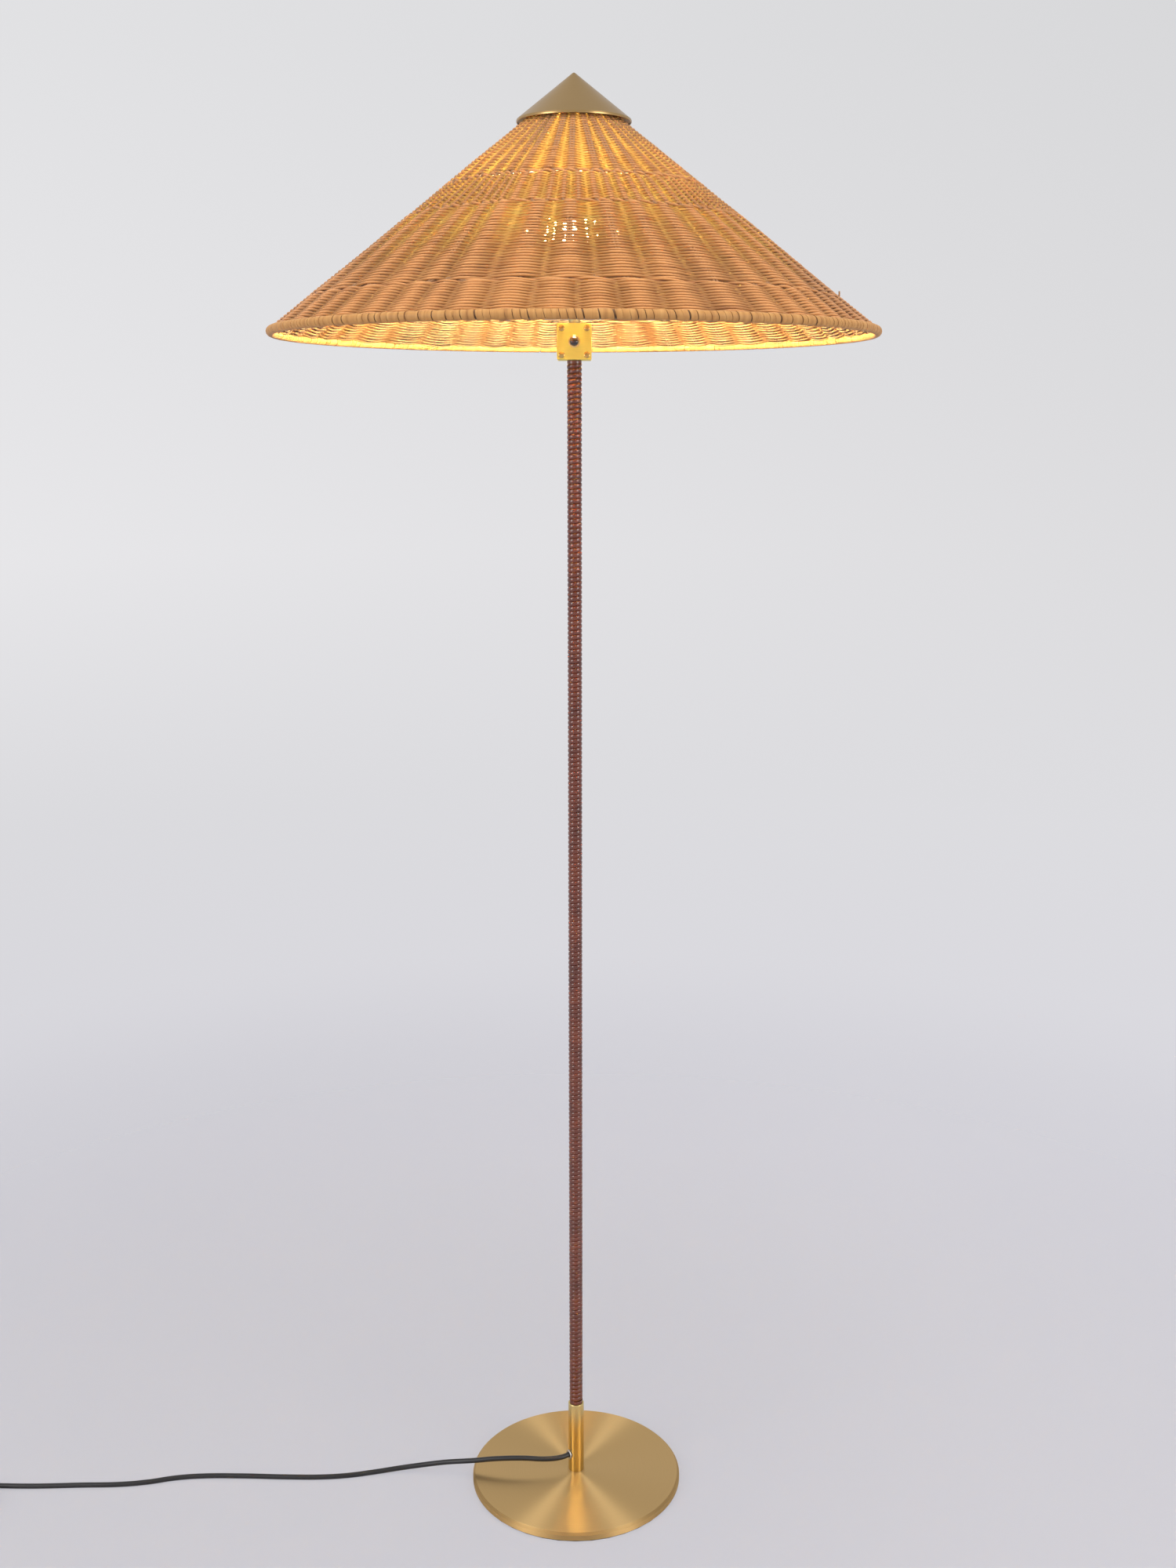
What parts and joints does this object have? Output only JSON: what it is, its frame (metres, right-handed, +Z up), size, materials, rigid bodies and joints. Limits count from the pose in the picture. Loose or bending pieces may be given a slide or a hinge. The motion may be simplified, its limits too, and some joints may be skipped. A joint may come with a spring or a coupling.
{
  "type": "floor lamp",
  "caption": "Floor lamp with a round flat base, a thin stem laced with leather, a push switch in a small box, and a wide cone shade of woven cane on a wire harp.",
  "frame": {"origin": "on the floor, under the middle of the round base", "axes": "+Z up the stem; +X to the right and -Y to the front, the side that the switch faces; the cord leaves to the left, towards -X"},
  "size_m": [1.0463, 0.5996, 1.5045],
  "materials": {
    "brass": "satin, brushed in circles on the base",
    "steel": "plain zinc plated",
    "pad_rubber": "matte",
    "lace_leather": "smooth, wound in close turns",
    "clear_bush": "clear, glossy",
    "cord_rubber": "satin black",
    "switch_plastic": "glossy black",
    "holder_plastic": "cream moulding",
    "bulb_metal": "rolled thread",
    "bulb_glass": "frosted, lit",
    "cane": "split cane, oiled",
    "tie_fabric": "woven strap",
    "pin_metal": "nickel plated"
  },
  "bodies": {
    "lamp": {"base_disc": "brass", "base_pad": "pad_rubber", "base_washer": "steel", "base_nut": "steel", "base_nipple": "steel", "stem_ferrule": "brass", "stem_tube": "brass", "leather_wrap": "lace_leather", "cord_bush": "clear_bush", "stem_lead": "cord_rubber", "stem_nut": "steel", "switch_box": "brass", "switch_cover": "brass", "cover_screw_1": "brass", "cover_screw_2": "brass", "cover_screw_3": "brass", "cover_screw_4": "brass", "switch_body": "switch_plastic", "switch_ring_nut": "brass", "neck_sleeve": "brass", "neck_nipple": "steel", "neck_nut": "steel", "neck_lead": "cord_rubber", "harp_saddle": "steel", "harp_sleeve_left": "brass", "harp_sleeve_right": "brass", "harp_bow": "steel", "holder_cup": "brass", "holder_insert": "holder_plastic", "bulb_cap": "bulb_metal", "bulb_globe": "bulb_glass", "shade_carrier": "steel", "rattan_shade": "cane", "rim_hoop": "cane", "rim_binding": "cane", "top_washer": "brass", "cone_cap": "brass", "power_cord": "cord_rubber", "cord_coil": "cord_rubber", "cord_tail": "cord_rubber", "coil_tie": "tie_fabric", "plug_strain_relief": "cord_rubber", "plug_body": "switch_plastic", "plug_pin_left": "pin_metal", "plug_pin_right": "pin_metal"},
    "button": {"switch_button": "switch_plastic"}
  },
  "joints": [
    {"name": "button_press", "type": "slide", "parent": "lamp", "child": "button", "axis": [0, 1, 0], "range_m": [0, 0.003], "stiffness_N_per_m": 400, "springref_m": -0.002}
  ]
}
